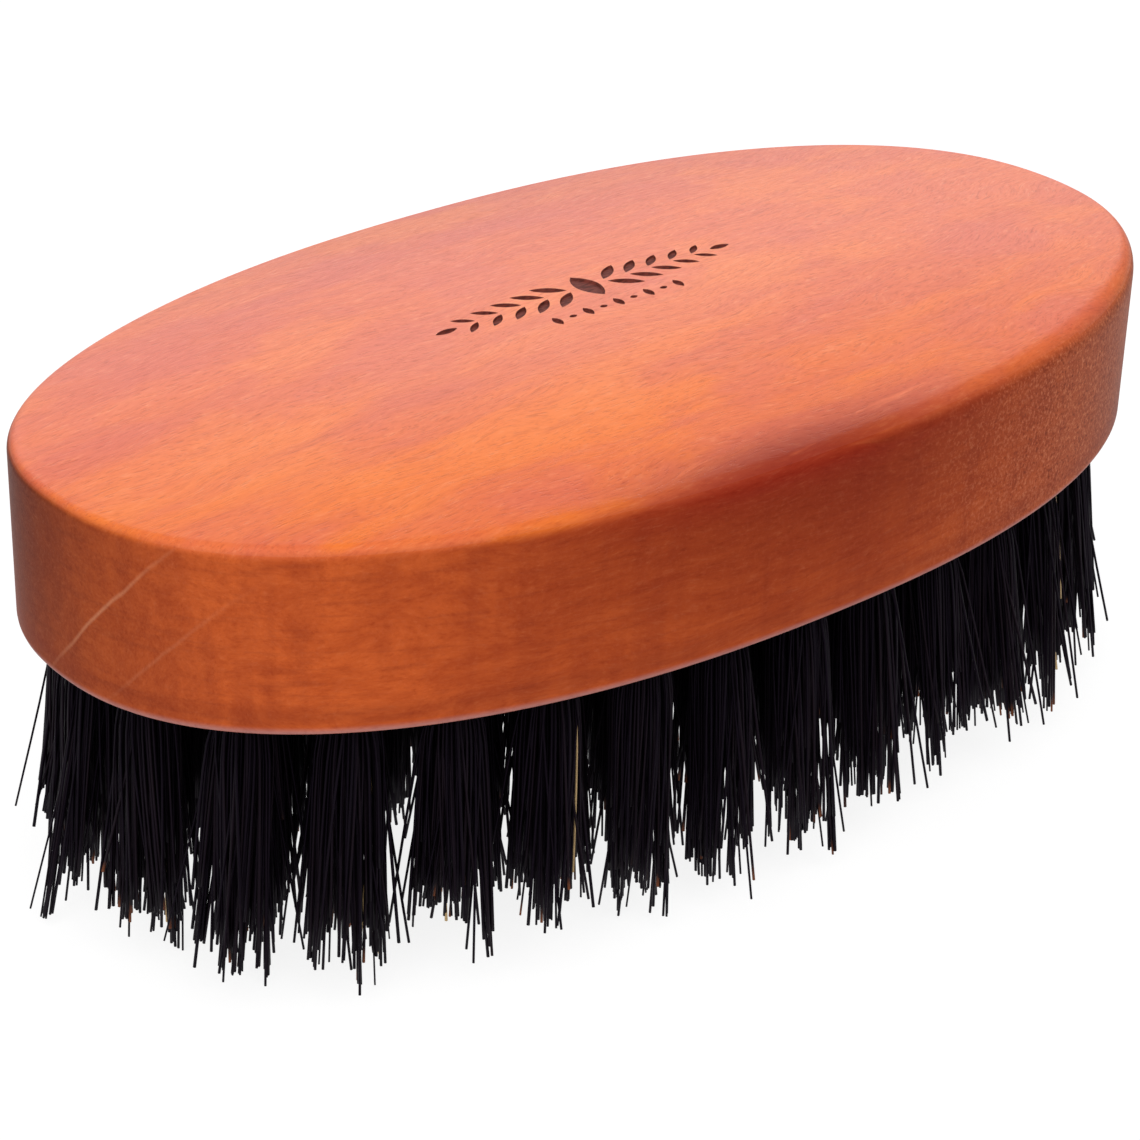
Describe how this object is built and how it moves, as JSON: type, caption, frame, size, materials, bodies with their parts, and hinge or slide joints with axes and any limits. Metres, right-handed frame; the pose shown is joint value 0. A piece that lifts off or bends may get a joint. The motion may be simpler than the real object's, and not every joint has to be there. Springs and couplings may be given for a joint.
{
  "type": "beard brush",
  "caption": "Oval palm-held beard brush: a solid stained wooden block with tufts of dark natural bristle anchored in drilled holes.",
  "frame": {"origin": "middle of the plane that the bristle tips reach, below the centre of the oval block", "axes": "+X along the block's length, +Y across it, +Z from the bristle tips up to the block's crowned back"},
  "size_m": [0.11, 0.058, 0.0435],
  "materials": {
    "wood": "stained reddish pear wood under a thin satin varnish",
    "bristle": "near-black natural boar bristle, slightly glossy",
    "anchor_wire": "drawn flat wire"
  },
  "bodies": {
    "root": {"handle_block": "wood", "tuft_row_01": "bristle", "tuft_row_02": "bristle", "tuft_row_03": "bristle", "tuft_row_04": "bristle", "tuft_row_05": "bristle", "tuft_row_06": "bristle", "tuft_row_07": "bristle", "tuft_row_08": "bristle", "tuft_row_09": "bristle", "tuft_row_10": "bristle", "tuft_row_11": "bristle", "tuft_row_12": "bristle", "tuft_row_13": "bristle", "tuft_row_14": "bristle", "tuft_row_15": "bristle", "tuft_row_16": "bristle", "tuft_row_17": "bristle", "tuft_row_18": "bristle", "tuft_row_19": "bristle", "tuft_row_20": "bristle", "tuft_row_21": "bristle", "tuft_row_22": "bristle", "tuft_row_23": "bristle", "tuft_row_24": "bristle", "tuft_row_25": "bristle", "tuft_row_26": "bristle", "tuft_row_27": "bristle", "anchor_row_01": "anchor_wire", "anchor_row_02": "anchor_wire", "anchor_row_03": "anchor_wire", "anchor_row_04": "anchor_wire", "anchor_row_05": "anchor_wire", "anchor_row_06": "anchor_wire", "anchor_row_07": "anchor_wire", "anchor_row_08": "anchor_wire", "anchor_row_09": "anchor_wire", "anchor_row_10": "anchor_wire", "anchor_row_11": "anchor_wire", "anchor_row_12": "anchor_wire", "anchor_row_13": "anchor_wire", "anchor_row_14": "anchor_wire", "anchor_row_15": "anchor_wire", "anchor_row_16": "anchor_wire", "anchor_row_17": "anchor_wire", "anchor_row_18": "anchor_wire", "anchor_row_19": "anchor_wire", "anchor_row_20": "anchor_wire", "anchor_row_21": "anchor_wire", "anchor_row_22": "anchor_wire", "anchor_row_23": "anchor_wire", "anchor_row_24": "anchor_wire", "anchor_row_25": "anchor_wire", "anchor_row_26": "anchor_wire", "anchor_row_27": "anchor_wire"}
  },
  "joints": []
}
